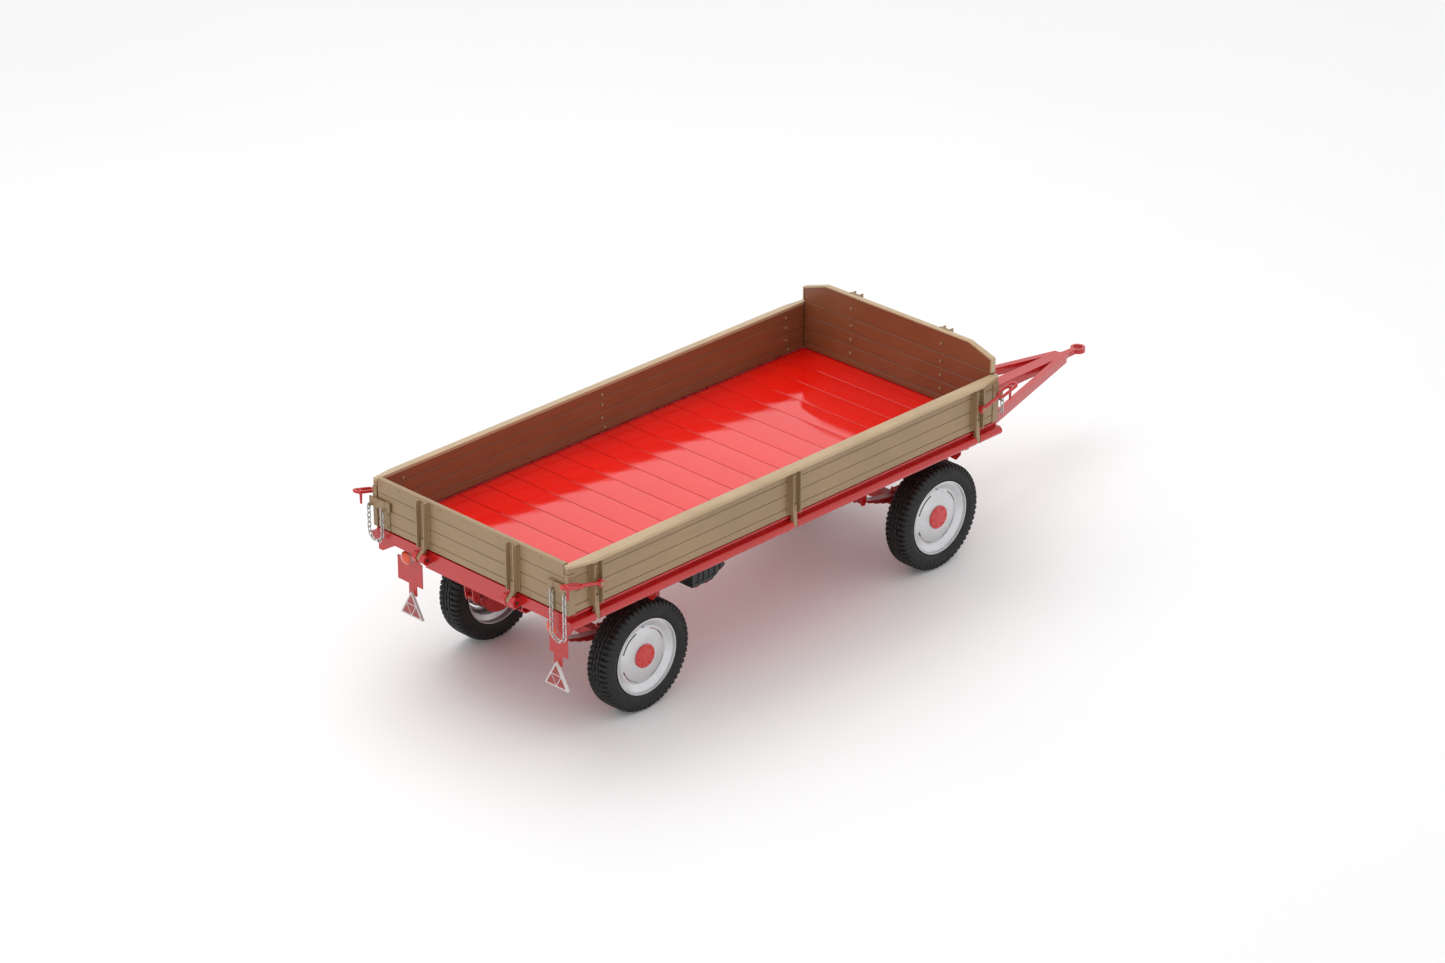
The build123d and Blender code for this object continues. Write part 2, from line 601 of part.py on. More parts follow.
def channel(x0, x1, y0, y1, low, high, sheet):
    """A C channel along Y, open to the front."""
    hollow = block(x0 + sheet, x1 + 1, y0 - 1, y1 + 1, low + sheet, high - sheet)
    return block(x0, x1, y0, y1, low, high) - hollow


def cross_x():
    """Rear faces of the floor's cross members."""
    first = BRACKET_X + 6
    last = FRONT_IN - 90
    step = (last - first) / (CROSS_COUNT - 1)
    return [first + n * step for n in range(CROSS_COUNT)]


def cross_members():
    """Channels between and outside the chassis beams, and the front sill."""
    low = FLOOR_LOW - CROSS_HEIGHT
    inner, outer = BEAM_Y - BEAM_WIDTH / 2, BEAM_Y + BEAM_WIDTH / 2
    web_in = RAIL_IN_Y
    pieces = []
    for x in cross_x():
        pieces.append(channel(x, x + 50, -inner, inner, low, FLOOR_LOW, 7))
        pieces += both_sides([channel(x, x + 50, outer, web_in, low, FLOOR_LOW, 7)])
    sill_low = RAIL_TOP - REAR_BEAM_HEIGHT
    sill = block(FRONT_IN, FRONT_OUT, -web_in, web_in, sill_low, RAIL_TOP)
    sill -= block(FRONT_IN - 1, FRONT_OUT - 9, -web_in - 1, web_in + 1, sill_low - 1, RAIL_TOP - 10)
    pieces.append(sill)
    return pieces


def axle_outriggers():
    """Deep tapered brackets from the chassis beams to the rails, above each axle, and the bolsters."""
    outer = BEAM_Y + BEAM_WIDTH / 2
    web_in = RAIL_IN_Y
    top = FLOOR_LOW
    pieces = []
    for x in (REAR_AXLE_X + 4, FRONT_AXLE_X + 90):
        outline = [(outer, BEAM_LOW), (web_in - 40, BEAM_LOW - 40), (web_in, BEAM_LOW + 10), (web_in, top),
                   (outer, top)]
        plate = sheet_yz(outline, x, x + 8)
        plate += block(x, x + 46, outer, web_in, top - 8, top)
        pieces += both_sides([plate])
    inner = BEAM_Y - BEAM_WIDTH / 2
    mid = (RING_OUT_R + RING_IN_R) / 2
    for x in (FRONT_AXLE_X - mid, FRONT_AXLE_X + mid - 28, REAR_AXLE_X - 230, REAR_AXLE_X + 190):
        pieces.append(channel(x - 25, x + 25, -inner, inner, BEAM_LOW, FLOOR_LOW - CROSS_HEIGHT, 8))
    return pieces


def chassis_beams():
    """Two I beams from the rear channel to the front sill."""
    s = BEAM_SHEET
    y0, y1 = BEAM_Y - BEAM_WIDTH / 2, BEAM_Y + BEAM_WIDTH / 2
    x0, x1 = REAR_FACE + REAR_BEAM_SHEET, FRONT_IN
    beam = block(x0, x1, y0, y1, BEAM_LOW, BEAM_LOW + s) + block(x0, x1, y0, y1, FLOOR_LOW - s, FLOOR_LOW)
    beam += block(x0, x1, BEAM_Y - s / 2, BEAM_Y + s / 2, BEAM_LOW, FLOOR_LOW)
    beam -= block(x0 - 1, 60, y0 - 1, y1 + 1, BEAM_LOW - 1, RAIL_TOP - REAR_BEAM_HEIGHT + 10)
    return both_sides([beam])


# ---- running gear ----
def spring_beam(x0, x1, low, high):
    """A box beam above the springs, on the left."""
    wall = 8.0
    y0, y1 = BEAM_Y - BEAM_WIDTH / 2, BEAM_Y + BEAM_WIDTH / 2
    hollow = block(x0 - 1, x1 + 1, y0 + wall, y1 - wall, low + wall, high - wall)
    return block(x0, x1, y0, y1, low, high) - hollow


def spring_hanger(x, low_end):
    """Two cheeks and a pin that carry one spring eye, on the left, below low_end."""
    lean = 26.0
    out = SPRING_WIDTH / 2 + 2
    shape = [(x - 45, low_end), (x + 45, low_end), (x + lean, SPRING_EYE_Z), (x + 16, SPRING_EYE_Z - 26),
             (x - 16, SPRING_EYE_Z - 26), (x - lean, SPRING_EYE_Z)]
    cheeks = sheet_xz(shape, BEAM_Y + out, BEAM_Y + out + 10)
    cheeks += sheet_xz(shape, BEAM_Y - out - 10, BEAM_Y - out)
    cheeks += block(x - 45, x + 45, BEAM_Y - out - 10, BEAM_Y + out + 10, low_end - 10, low_end)
    cheeks -= rod_y(x, BEAM_Y - 80, BEAM_Y + 80, SPRING_EYE_Z, SPRING_PIN_R + PIN_FIT)
    pin = rod_y(x, BEAM_Y - out - 20, BEAM_Y + out + 20, SPRING_EYE_Z, SPRING_PIN_R)
    return [cheeks, pin]


def hangers(axle_x):
    pieces = []
    for x in (axle_x - SPRING_HALF, axle_x + SPRING_HALF):
        pieces += both_sides(spring_hanger(x, BOGIE_LOW))
    return pieces


def leaf(order, axle_x):
    """One leaf of the pack: an arc that rises to its ends; order 0 carries the eyes."""
    radius = (SPRING_HALF**2 + SPRING_CAMBER**2) / (2 * SPRING_CAMBER)
    half_angle = (1 - 0.17 * order) * atan2(SPRING_HALF, radius - SPRING_CAMBER)
    r_in = radius - LEAF_THICK / 2 + order * (LEAF_THICK + LEAF_GAP)
    r_out = r_in + LEAF_THICK
    centre = SPRING_EYE_Z - SPRING_CAMBER + radius

    def at(r, a):
        return (axle_x + r * sin(a), 0, centre - r * cos(a))

    inner = ThreePointArc(at(r_in, -half_angle), at(r_in, 0), at(r_in, half_angle))
    outer = ThreePointArc(at(r_out, half_angle), at(r_out, 0), at(r_out, -half_angle))
    side_a = Line(at(r_in, half_angle), at(r_out, half_angle))
    side_b = Line(at(r_out, -half_angle), at(r_in, -half_angle))
    face = make_face(Curve() + [inner, side_a, outer, side_b])
    body = extrude(face, amount=SPRING_WIDTH / 2, both=True)
    body = Pos(0, BEAM_Y, 0) * body
    if order == 0:
        for x in (axle_x - SPRING_HALF, axle_x + SPRING_HALF):
            y0, y1 = BEAM_Y - SPRING_WIDTH / 2, BEAM_Y + SPRING_WIDTH / 2
            body += rod_y(x, y0, y1, SPRING_EYE_Z, SPRING_PIN_R + 9)
            body -= rod_y(x, y0 - 1, y1 + 1, SPRING_EYE_Z, SPRING_PIN_R + PIN_FIT)
    return body


def springs(axle_x):
    return both_sides([leaf(n, axle_x) for n in range(LEAF_COUNT)])


def spring_clamp(axle_x):
    """Top plate, bottom plate and four bolts that hold a pack to the axle, on the left."""
    top = SPRING_EYE_Z - SPRING_CAMBER + LEAF_THICK / 2 + 4
    low = TYRE_R - AXLE_SIDE / 2
    half_x, half_y = 56.0, SPRING_WIDTH / 2 + 16
    y0, y1 = BEAM_Y - half_y, BEAM_Y + half_y
    pad = block(axle_x - half_x, axle_x + half_x, y0, y1, top, top + 10)
    keeper = block(axle_x - half_x, axle_x + half_x, y0, y1, low - 10, low)
    body = pad + keeper
    for dx in (-AXLE_SIDE / 2 - 10, AXLE_SIDE / 2 + 10):
        for y in (y0 + 8, y1 - 8):
            body += rod_z(axle_x + dx, y, low - 22, top + 22, 7)
    return body


def axle(axle_x):
    """Square axle with spindles and brake backplates, and the clamps of its two springs."""
    half = AXLE_SIDE / 2
    inner = HALF_TRACK - 118
    beam = block(axle_x - half, axle_x + half, -inner, inner, TYRE_R - half, TYRE_R + half)
    for side in (1, -1):
        beam += rod_y(axle_x, side * inner, side * (inner + 5), TYRE_R, DRUM_R - 4)
        beam += rod_y(axle_x, side * inner, side * (HALF_TRACK + 20), TYRE_R, SPINDLE_R)
    return [beam] + both_sides([spring_clamp(axle_x)])


def tyre_outline():
    """(radius, offset) section of a tyre, open at the beads, with three tread grooves."""
    half = TYRE_WIDTH / 2
    bead = RIM_R - 5 + SEAT_GAP
    wall = 13.0
    right = [(TYRE_R, 4), (TYRE_R, 24), (TYRE_R - 10, 25), (TYRE_R - 10, 33), (TYRE_R, 34),
             (TYRE_R - 1, 62), (TYRE_R - 10, half - 12), (TYRE_R - 28, half - 4), (TYRE_R - 60, half),
             (TYRE_R - 90, half - 3), (bead + 14, half - 14), (bead + 6, half - 20.7), (bead, half - 21),
             (bead, half - 38), (bead + 20, half - 30), (TYRE_R - 90, half - wall - 3),
             (TYRE_R - 60, half - wall), (TYRE_R - 34, half - wall - 6), (TYRE_R - 24, 52)]
    left = [(r, -a) for r, a in reversed(right)]
    groove = [(TYRE_R - 10, -4), (TYRE_R - 10, 4)]
    return right + left + groove


def rim():
    """Drop-centre rim and domed disc with four long arc slots, at the origin, +Y outwards."""
    flange, seat, face = RIM_R, RIM_R - 5, DISC_FACE
    half = RIM_WIDTH / 2
    barrel = [(flange, half), (flange, half - 5), (seat, half - 9), (seat, 40), (228, 22), (228, -22),
              (seat, -40), (seat, 9 - half), (flange, 5 - half), (flange, -half), (flange - 8, -half),
              (seat - 6, 12 - half), (seat - 6, -44), (222, -25), (222, 25), (seat - 6, 44),
              (seat - 6, half - 12), (flange - 8, half)]
    dish = [(62, face), (112, face), (135, face - 2), (160, face - 6), (180, face - 11), (196, face - 17),
            (206, face - 17), (222, face - 8), (240, face + 4), (250, face + 8), (seat - 5, face + 8)]
    disc = dish + [(r, a - DISC_SHEET) for r, a in reversed(dish)]
    body = turned_y(barrel, 0, 0, 0, 1) + turned_y(disc, 0, 0, 0, 1)
    for n in range(4):
        body -= Rot(0, 45 + 90 * n, 0) * arc_slot(SLOT_R, 9, 52)
    return body


def arc_slot(radius, width, span):
    """Cutter for one slot along an arc, centred on +X in the XZ plane."""
    ring = Rot(90, 0, 0) * (Cylinder(radius + width / 2, 200) - Cylinder(radius - width / 2, 202))
    far = 2 * radius
    a = radians(span / 2)
    wedge = sheet_xz([(0, 0), (far * cos(a), -far * sin(a)), (far * cos(a), far * sin(a))], -101, 101)
    return ring & wedge


def hub_outline():
    """(radius, offset) section of drum, hub, spigot and cap, bored for the spindle."""
    bore = SPINDLE_R + PIN_FIT
    drum_in = -112.0
    face = DISC_FACE
    back = face - DISC_SHEET - SEAT_GAP
    spigot = 62 - SEAT_GAP
    return [(0, 22), (bore, 22), (bore, drum_in), (55, drum_in), (55, -46), (DRUM_R - 8, -46),
            (DRUM_R - 8, drum_in), (DRUM_R, drum_in), (DRUM_R, drum_in + DRUM_WIDTH - 6), (120, -24),
            (112, back), (spigot, back), (spigot, face + SEAT_GAP), (HUB_CAP_R, face + SEAT_GAP),
            (HUB_CAP_R, face + 8), (HUB_CAP_R - 6, face + 14), (46, face + 15), (42, face + 19),
            (0, face + 21)]


def hub():
    body = turned_y(hub_outline(), 0, 0, 0, 1)
    for n in range(6):
        a = radians(60 * n)
        body += Pos(62 * cos(a), DISC_FACE + 15, 62 * sin(a)) * Rot(90, 0, 0) * Cylinder(6, 10)
    return body


def wheel_places():
    """Wheel name to (x, side)."""
    return {
        "front_left": (FRONT_AXLE_X, 1),
        "front_right": (FRONT_AXLE_X, -1),
        "rear_left": (REAR_AXLE_X, 1),
        "rear_right": (REAR_AXLE_X, -1),
    }


def save_wheels():
    left = {"tyre": turned_y(tyre_outline(), 0, 0, 0, 1), "rim": rim(), "hub": hub()}
    for place, (x, side) in wheel_places().items():
        for kind, shape in left.items():
            own = shape if side > 0 else flip_y(shape)
            save(f"{kind}_{place}", [Pos(x, side * HALF_TRACK, TYRE_R) * own])


# ---- turntable, bogie and drawbar ----
def ring(low, high):
    opening = rod_z(FRONT_AXLE_X, 0, low - 1, high + 1, RING_IN_R)
    return rod_z(FRONT_AXLE_X, 0, low, high, RING_OUT_R) - opening


def turntable_upper():
    """Upper ring with its cross bar and the kingpin, fixed under the chassis beams."""
    low, high = BEAM_LOW - RING_THICK, BEAM_LOW
    body = ring(low, high)
    body += block(FRONT_AXLE_X - 70, FRONT_AXLE_X + 70, -RING_IN_R - 20, RING_IN_R + 20, low, high)
    body += rod_z(FRONT_AXLE_X, 0, BOGIE_LOW - 24, high, KINGPIN_R)
    return [body]


def turntable_lower():
    low, high = BOGIE_TOP, BOGIE_TOP + RING_THICK
    body = ring(low, high)
    body += block(FRONT_AXLE_X - 70, FRONT_AXLE_X + 70, -RING_IN_R - 20, RING_IN_R + 20, low, high)
    return [body - rod_z(FRONT_AXLE_X, 0, low - 1, high + 1, KINGPIN_R + PIN_FIT)]


def bogie_frame():
    """Steered frame: two beams, three cross beams and the drawbar's lugs."""
    x0, x1 = FRONT_AXLE_X - BOGIE_REAR, FRONT_AXLE_X + BOGIE_FRONT
    body = sum(both_sides([spring_beam(x0, x1 - 70, BOGIE_LOW, BOGIE_TOP)]), Part())
    inner = BEAM_Y - BEAM_WIDTH / 2
    mid = (RING_OUT_R + RING_IN_R) / 2
    for x in (x0, FRONT_AXLE_X - 60, FRONT_AXLE_X + mid - 30):
        wide = 120 if x == FRONT_AXLE_X - 60 else 60
        body += block(x, x + wide, -inner, inner, BOGIE_LOW, BOGIE_TOP)
    body += block(x1 - 70, x1, -HITCH_Y - 50, HITCH_Y + 50, BOGIE_LOW, BOGIE_TOP)
    body -= rod_z(FRONT_AXLE_X, 0, BOGIE_LOW - 1, BOGIE_TOP + 1, KINGPIN_R + PIN_FIT)
    hinge_x = FRONT_AXLE_X + HITCH_X
    shape = [(x1 - 60, BOGIE_LOW), (x1, BOGIE_LOW), (hinge_x + 30, DRAWBAR_Z + 16),
             (hinge_x + 30, DRAWBAR_Z - 16), (hinge_x + 12, DRAWBAR_Z - 32), (hinge_x - 20, DRAWBAR_Z - 30),
             (x1 - 60, DRAWBAR_Z + 46)]
    for side in (1, -1):
        for y in (HITCH_Y - 41, HITCH_Y + 29):
            body += sheet_xz(shape, side * y, side * (y + 12))
    return body - rod_y(hinge_x, -HITCH_Y - 60, HITCH_Y + 60, DRAWBAR_Z, PIN_R + PIN_FIT)


def drawbar_pins():
    x = FRONT_AXLE_X + HITCH_X
    return both_sides([rod_y(x, HITCH_Y - 50, HITCH_Y + 50, DRAWBAR_Z, PIN_R)])


def drawbar_frame():
    """A frame of two converging beams and a centre beam, joined at the neck and at a rear tie."""
    hinge_x = FRONT_AXLE_X + HITCH_X
    low, high = DRAWBAR_Z - DRAWBAR_HEIGHT / 2, DRAWBAR_Z + DRAWBAR_HEIGHT / 2
    half = DRAWBAR_BEAM / 2
    xa, xt = hinge_x + 34, EYE_X - NECK_BACK
    tip = CENTRE_BEAM / 2 + 8
    corners = [(xa, HITCH_Y - half), (xa, HITCH_Y + half), (xt, tip), (xt, tip - DRAWBAR_BEAM)]
    beam = sheet_xy(corners, low, high)
    beam += block(hinge_x, xa + 1, HITCH_Y - half, HITCH_Y + half, DRAWBAR_Z - 24, DRAWBAR_Z + 24)
    beam += rod_y(hinge_x, HITCH_Y - 28, HITCH_Y + 28, DRAWBAR_Z, 30)
    beam -= rod_y(hinge_x, HITCH_Y - 60, HITCH_Y + 60, DRAWBAR_Z, PIN_R + PIN_FIT)
    slope = (HITCH_Y - tip) / (xt - xa)
    tie_x = hinge_x + 100
    tie_y = HITCH_Y - half - slope * (tie_x + 50 - xa) + 10
    body = beam + flip_y(beam)
    body += block(tie_x, tie_x + 50, -tie_y, tie_y, low, high)
    body += block(tie_x, xt, -CENTRE_BEAM / 2, CENTRE_BEAM / 2, low, high)
    return [body]


def tow_eye():
    """Forged ring on a shank that butts against the drawbar's neck."""
    low, high = DRAWBAR_Z - TOW_EYE_THICK / 2, DRAWBAR_Z + TOW_EYE_THICK / 2
    x0 = EYE_X - NECK_BACK
    outline = [(x0, 40), (x0, -40), (x0 + 60, -24), (EYE_X, -22), (EYE_X, 22), (x0 + 60, 24)]
    shank = sheet_xy(outline, low, high)
    body = rod_z(EYE_X, 0, low, high, TOW_EYE_R) + shank
    return [body - rod_z(EYE_X, 0, low - 1, high + 1, TOW_BORE_R)]


# ---- lamps, reflectors and chock ----
def light_bracket(inboard, outboard):
    """Left bracket plate bolted to the first cross member: hanger, board and strip."""
    top, board_top, board_low = FLOOR_LOW, LAMP_Z - 40, LAMP_Z - 215
    a, b, c = 75.0, 38.0, 6.0
    outline = [(LAMP_Y - a, top), (LAMP_Y - a, board_top), (inboard, board_top), (inboard, board_low),
               (LAMP_Y - b, board_low), (LAMP_Y - b, TRIANGLE_LOW + 150), (LAMP_Y + b, TRIANGLE_LOW + 150),
               (LAMP_Y + b, board_low), (outboard, board_low), (outboard, board_top), (LAMP_Y + a, board_top),
               (LAMP_Y + a, top)]
    return sheet_yz(outline, BRACKET_X, BRACKET_X + c)


def light_brackets():
    return [light_bracket(LAMP_Y - 97, LAMP_Y + 144), flip_y(light_bracket(LAMP_Y - 76, LAMP_Y + 90))]


def lamp_housings():
    """Round lamp bodies on the brackets' rear faces."""
    body = Pos(BRACKET_X - 26, LAMP_Y, LAMP_Z) * Rot(0, -90, 0) * Cone(LAMP_R - 10, LAMP_R, 52)
    return both_sides([body])


def lamp_lenses():
    """Domed lenses that close the lamp housings."""
    bulge = 24.0
    radius = (LAMP_R**2 + bulge**2) / (2 * bulge)
    face_x = BRACKET_X - 52
    dome = Pos(face_x - bulge + radius, LAMP_Y, LAMP_Z) * Sphere(radius)
    dome = dome & block(face_x - bulge - 1, face_x, LAMP_Y - 60, LAMP_Y + 60, LAMP_Z - 60, LAMP_Z + 60)
    return both_sides([dome])


def triangle(side, low, inset):
    """Upright triangle points about the lamp's centre line, shrunk by inset."""
    height = side * sqrt(3) / 2
    half = side / 2 - inset * sqrt(3)
    return [(LAMP_Y - half, low + inset), (LAMP_Y + half, low + inset), (LAMP_Y, low + height - 2 * inset)]


def tile_outlines(inset):
    """The four small triangles inside a reflector."""
    edge = 16.0
    side = TRIANGLE_SIDE - edge * sqrt(3)
    low = TRIANGLE_LOW + edge / 2
    half, height = side / 2, side * sqrt(3) / 4
    tiles = []
    for dy, dz in ((-half / 2, 0), (half / 2, 0), (0, height)):
        tiles.append([(y + dy, z + dz) for y, z in triangle(half, low, inset)])
    down = triangle(half, low, inset)
    mid = low + height / 2
    tiles.append([(y, 2 * mid - z) for y, z in down])
    return tiles


def reflector_frame():
    x0, x1 = BRACKET_X - TRIANGLE_THICK, BRACKET_X
    body = sheet_yz(triangle(TRIANGLE_SIDE, TRIANGLE_LOW, 0), x0, x1)
    for outline in tile_outlines(3.5):
        body -= sheet_yz(outline, x0 - 1, x0 + 7)
    return body


def reflector_tiles():
    x0 = BRACKET_X - TRIANGLE_THICK
    return [sheet_yz(outline, x0 - 1, x0 + 7) for outline in tile_outlines(3.8)]


def chock_holder():
    """Top plate under the right rail and two straps that carry the chock."""
    top = CHOCK_LOW + CHOCK_HEIGHT + 4
    outer = -RAIL_IN_Y
    inner = -CHOCK_OUT_Y + CHOCK_WIDTH + 3
    rail_low = RAIL_TOP - RAIL_HEIGHT
    plate = block(CHOCK_X + 10, CHOCK_X + CHOCK_LENGTH - 10, outer - RAIL_SHEET, inner + 8, top, top + 6)
    plate += block(CHOCK_X + 10, CHOCK_X + CHOCK_LENGTH - 10, outer - RAIL_SHEET, outer, top, rail_low)
    for x in (CHOCK_X + 30, CHOCK_X + 120):
        plate += block(x, x + 30, inner, inner + 8, CHOCK_LOW - 7, top)
        plate += block(x, x + 30, -CHOCK_OUT_Y, inner + 8, CHOCK_LOW - 7, CHOCK_LOW - SEAT_GAP)
    return [plate]


def wheel_chock():
    """Ribbed wedge with a flat heel, a flat foot and a sloping nose."""
    x, z = CHOCK_X, CHOCK_LOW
    shape = [(x, z), (x + 0.6 * CHOCK_LENGTH, z), (x + CHOCK_LENGTH, z + 0.5 * CHOCK_HEIGHT),
             (x + 0.96 * CHOCK_LENGTH, z + CHOCK_HEIGHT), (x, z + CHOCK_HEIGHT)]
    y0, y1 = -CHOCK_OUT_Y, -CHOCK_OUT_Y + CHOCK_WIDTH
    body = sheet_xz(shape, y0, y1)
    for n in range(5):
        rib_x = x + 24 + n * 50
        deep = CHOCK_HEIGHT - 24 - 0.6 * n * n
        body -= block(rib_x, rib_x + 34, y0 - 1, y0 + 5, z + CHOCK_HEIGHT - deep, z + CHOCK_HEIGHT - 12)
    return [body]


def main():
    os.makedirs("parts", exist_ok=True)
    left_pieces = {
        "side_wall_boards": side_boards(),
        "side_wall_straps": side_straps() + side_corner_plates(),
        "side_wall_cap": [side_cap()],
        "side_wall_bolts": side_bolts() + latch_pivots(),
        "side_rail": [side_rail()],
    }
    for name, shapes in left_pieces.items():
        save(f"{name}_left", shapes)
        save(f"{name}_right", [flip_y(s) for s in shapes])
    save("tailgate_boards", gate_boards())
    save("tailgate_straps", gate_straps() + rear_corner_brackets())
    save("tailgate_bolts", gate_bolts())
    save("front_wall_boards", front_boards())
    save("front_wall_cap", [front_cap()])
    save("front_wall_straps", front_straps() + front_corner_brackets())
    save("front_wall_bolts", front_bolts())
    names = ("front_left", "front_right", "rear_left", "rear_right")
    for name, shape in zip(names, latch_set()):
        save(f"latch_{name}", [shape])
    rear_x = -(EAR_FACE + CHAIN_OFF)
    front_x = FRONT_OUT + EAR_FACE + CHAIN_OFF
    save("chain_rear_left", chain(CHAIN_DROPS[0], rear_x, STUD_Y))
    save("chain_rear_right", [flip_y(s) for s in chain(CHAIN_DROPS[1], rear_x, STUD_Y)])
    save("chain_front_left", chain(CHAIN_DROPS[2], front_x, STUD_Y))
    save("chain_front_right", [flip_y(s) for s in chain(CHAIN_DROPS[2], front_x, STUD_Y)])
    save("floor_planks", floor_planks())
    save("rear_beam", [rear_beam()])
    save("cross_members", cross_members())
    save("axle_outriggers", axle_outriggers())
    save("chassis_beams", chassis_beams())
    save("hinge_pins", hinge_pins())
    rear0, rear1 = REAR_AXLE_X - SPRING_HALF - 60, REAR_AXLE_X + SPRING_HALF + 60
    rear_beams = both_sides([spring_beam(rear0, rear1, BOGIE_LOW, BEAM_LOW)])
    save("rear_subframe", rear_beams + hangers(REAR_AXLE_X))
    save("rear_springs", springs(REAR_AXLE_X))
    save("rear_axle", axle(REAR_AXLE_X))
    save("front_springs", springs(FRONT_AXLE_X))
    save("front_axle", axle(FRONT_AXLE_X))
    save_wheels()
    save("turntable_upper_ring", turntable_upper())
    save("turntable_lower_ring", turntable_lower())
    save("bogie_frame", [bogie_frame()] + hangers(FRONT_AXLE_X) + drawbar_pins())
    save("drawbar_frame", drawbar_frame())
    save("tow_eye", tow_eye())
    save("light_brackets", light_brackets())
    save("lamp_housings", lamp_housings())
    save("lamp_lenses", lamp_lenses())
    save("reflector_frames", both_sides([reflector_frame()]))
    save("reflector_tiles", both_sides(reflector_tiles()))
    save("chock_holder", chock_holder())
    save("wheel_chock", wheel_chock())


main()
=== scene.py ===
"""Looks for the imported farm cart: materials, treaded tyres, small trim, light and camera."""

import math

import bpy
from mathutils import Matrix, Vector


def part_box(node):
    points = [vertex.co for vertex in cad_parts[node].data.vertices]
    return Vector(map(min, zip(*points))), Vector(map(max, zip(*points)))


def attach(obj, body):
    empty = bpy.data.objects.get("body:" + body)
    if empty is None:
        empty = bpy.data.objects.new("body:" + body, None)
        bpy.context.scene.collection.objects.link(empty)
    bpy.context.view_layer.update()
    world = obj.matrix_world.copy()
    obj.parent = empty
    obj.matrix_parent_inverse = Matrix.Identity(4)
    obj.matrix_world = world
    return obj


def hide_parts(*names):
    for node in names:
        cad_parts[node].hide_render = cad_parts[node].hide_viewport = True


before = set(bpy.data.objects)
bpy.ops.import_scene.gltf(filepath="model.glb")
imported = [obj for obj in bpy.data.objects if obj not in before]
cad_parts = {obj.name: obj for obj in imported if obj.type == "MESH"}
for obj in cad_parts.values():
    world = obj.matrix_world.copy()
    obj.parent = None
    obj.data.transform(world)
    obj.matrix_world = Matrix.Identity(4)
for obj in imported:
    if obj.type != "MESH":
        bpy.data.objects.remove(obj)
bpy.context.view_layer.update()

PLACES = ("front_left", "front_right", "rear_left", "rear_right")
PLANKS = 18                 # floor boards along the bed
BOARD_BEVEL = 0.0045        # a board's bevel counts as part of its inner face
# Reach of the painted shade laid into grooves and corners.
CREVICE_REACH = 0.014       # widest groove that is darkened, metres
CROWN = 0.009               # bump height that stands for a crowned floor board
VALVE_RADIUS = 0.205        # valve stem from the wheel's centre
VALVE_OUT = 0.020           # its foot from the tyre's middle
SCREW_DROP = 0.025          # tailgate screws below the top edge
SCREW_PLACES = (-0.670, -0.275, 0.275, 0.670)

# Soft light from all round, and one broad lamp above, in watts and metres.
SKY = 1.0
LAMP_POWER = 260.0
LAMP_PLACE = (-1.5, 3.0, 9.0)
LAMP_AIM = (-0.5, 0.0, 0.0)
LAMP_SIZE = (8.0, 6.0)
FLOOR_HALF = 70.0

# Camera, in metres and degrees, about a point in the middle of the bed.
CAMERA_AIM = Vector((-0.856, -0.185, 0.991))
CAMERA_AZIMUTH = -45.44
CAMERA_ELEVATION = 25.99
CAMERA_DISTANCE = 29.897
LENS_MM = 110.85
SENSOR_MM = 36.0


# ---- small helpers ----
def paint_colour(red, green, blue):
    """An sRGB colour, 0 to 255, as the linear RGBA that shader sockets take."""
    def linear(value):
        v = value / 255
        return v / 12.92 if v <= 0.04045 else ((v + 0.055) / 1.055) ** 2.4
    return (linear(red), linear(green), linear(blue), 1.0)


def centre(node):
    low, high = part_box(node)
    return (Vector(low) + Vector(high)) / 2


def mesh_object(name, points, faces, material, smooth_angle=30):
    mesh = bpy.data.meshes.new(name)
    mesh.from_pydata(points, [], faces)
    mesh.materials.append(material)
    mesh.validate()
    mesh.polygons.foreach_set("use_smooth", [True] * len(mesh.polygons))
    mesh.set_sharp_from_angle(angle=math.radians(smooth_angle))
    piece = bpy.data.objects.new(name, mesh)
    bpy.context.scene.collection.objects.link(piece)
    return piece


def turned(name, outline, material, steps=48, smooth_angle=35):
    """A closed turned piece about the Y axis from (radius, offset) points."""
    points, faces = [], []
    rows = len(outline)
    for i in range(steps):
        a = 2 * math.pi * i / steps
        points += [(r * math.cos(a), y, r * math.sin(a)) for r, y in outline]
    for i in range(steps):
        for j in range(rows):
            k, m = (i + 1) % steps, (j + 1) % rows
            faces.append((i * rows + j, i * rows + m, k * rows + m, k * rows + j))
    return mesh_object(name, points, faces, material, smooth_angle)


